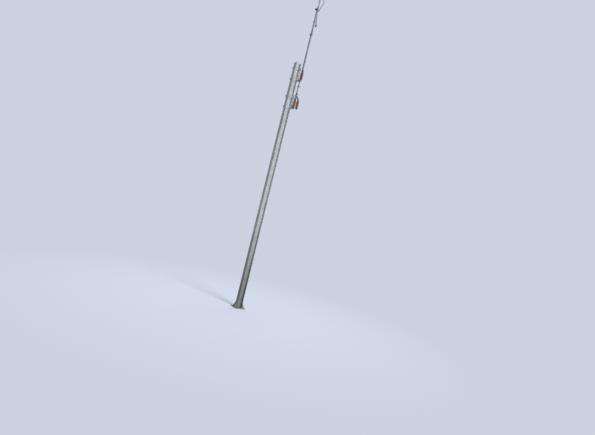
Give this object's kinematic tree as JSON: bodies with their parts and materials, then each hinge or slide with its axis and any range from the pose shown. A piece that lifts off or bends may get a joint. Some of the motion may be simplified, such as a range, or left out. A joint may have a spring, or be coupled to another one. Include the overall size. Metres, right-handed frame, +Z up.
{
  "type": "railway catenary mast",
  "caption": "Galvanised H-section railway mast with base plate and a hinged tube cantilever with brown insulators, folded upright beside it.",
  "frame": {"origin": "centre of the underside of the base plate, where the mast stands on its foundation", "axes": "+Z up the mast, +X across the flanges from the mast towards the track and the cantilever, +Y along the track"},
  "size_m": [0.7759, 0.42, 12.4],
  "materials": {
    "galvanised_section": "hot-dip galvanised, streaked and matt",
    "galvanised_tube": "galvanised, dull grey",
    "cast_fitting": "galvanised casting, dark and dull",
    "zinc_bolt": "zinc coated, dull",
    "brown_glaze": "brown glaze, glossy",
    "aluminium": "dull weathered aluminium"
  },
  "bodies": {
    "mast": {"column": "galvanised_section", "base_plate": "galvanised_section", "base_gussets": "galvanised_section", "upper_bracket": "galvanised_section", "upper_bottom_back_bar": "galvanised_section", "upper_top_back_bar": "galvanised_section", "upper_clamp_rods": "zinc_bolt", "upper_swivel_pin": "zinc_bolt", "lower_bracket": "galvanised_section", "lower_bottom_back_bar": "galvanised_section", "lower_top_back_bar": "galvanised_section", "lower_clamp_rods": "zinc_bolt", "lower_swivel_pin": "zinc_bolt"},
    "upper_swivel": {"upper_swivel_block": "cast_fitting", "upper_hinge_pin": "zinc_bolt"},
    "lower_swivel": {"lower_swivel_block": "cast_fitting", "lower_hinge_pin": "zinc_bolt"},
    "stay": {"stay_insulator": "brown_glaze", "stay_tongue_cap": "cast_fitting", "stay_tube_cap": "cast_fitting", "stay_tube": "galvanised_tube", "stay_end_eye": "galvanised_tube"},
    "strut": {"strut_insulator": "brown_glaze", "strut_tongue_cap": "cast_fitting", "strut_tube_cap": "cast_fitting", "strut_tube": "galvanised_tube", "strut_lower_ring": "cast_fitting", "strut_middle_ring": "cast_fitting", "stay_clamp": "cast_fitting", "messenger_saddle": "cast_fitting", "registration_clamp": "cast_fitting", "registration_hinge_pin": "zinc_bolt", "hanger_clamp": "cast_fitting", "hanger_pin": "zinc_bolt"},
    "hanging_insulator_body": {"hanging_top_cap": "cast_fitting", "hanging_insulator": "brown_glaze", "hanging_end_cap": "cast_fitting"},
    "registration": {"registration_eye": "galvanised_tube", "registration_tube": "galvanised_tube", "arm_bracket": "galvanised_tube", "steady_arm_pin": "zinc_bolt"},
    "steady_arm": {"steady_arm_tube": "aluminium", "steady_arm_eye": "aluminium", "contact_wire_clamp": "cast_fitting"}
  },
  "joints": [
    {"name": "cantilever_swing", "type": "hinge", "parent": "mast", "child": "upper_swivel", "pos_m": [0.168, 0, 8.86], "axis": [0, 0, 1], "range_deg": [-50, 50]},
    {"name": "lower_swing", "type": "hinge", "parent": "mast", "child": "lower_swivel", "pos_m": [0.168, 0, 7.79], "axis": [0, 0, 1], "range_deg": [-50, 50]},
    {"name": "cantilever_fold", "type": "hinge", "parent": "upper_swivel", "child": "stay", "pos_m": [0.252, -0.05, 8.885], "axis": [0, 1, 0], "range_deg": [0, 90]},
    {"name": "strut_fold", "type": "hinge", "parent": "lower_swivel", "child": "strut", "pos_m": [0.276, 0.045, 7.815], "axis": [0, 1, 0], "range_deg": [0, 71.92]},
    {"name": "registration_fold", "type": "hinge", "parent": "strut", "child": "registration", "pos_m": [0.335, 0.115, 10.76], "axis": [0, 1, 0], "range_deg": [0, 108.1]},
    {"name": "arm_swing", "type": "hinge", "parent": "registration", "child": "steady_arm", "pos_m": [0.4495, 0.16, 12.38], "axis": [0, 1, 0], "range_deg": [-95, 0]},
    {"name": "hanger_swing", "type": "hinge", "parent": "strut", "child": "hanging_insulator_body", "pos_m": [0.412, 0.045, 8.193], "axis": [0, 1, 0], "range_deg": [-72, 0]}
  ],
  "couplings": [
    {"joint": "lower_swing", "follows": "cantilever_swing", "ratio": 1},
    {"joint": "strut_fold", "follows": "cantilever_fold", "ratio": 0.79902},
    {"joint": "registration_fold", "follows": "cantilever_fold", "ratio": 1.201}
  ]
}
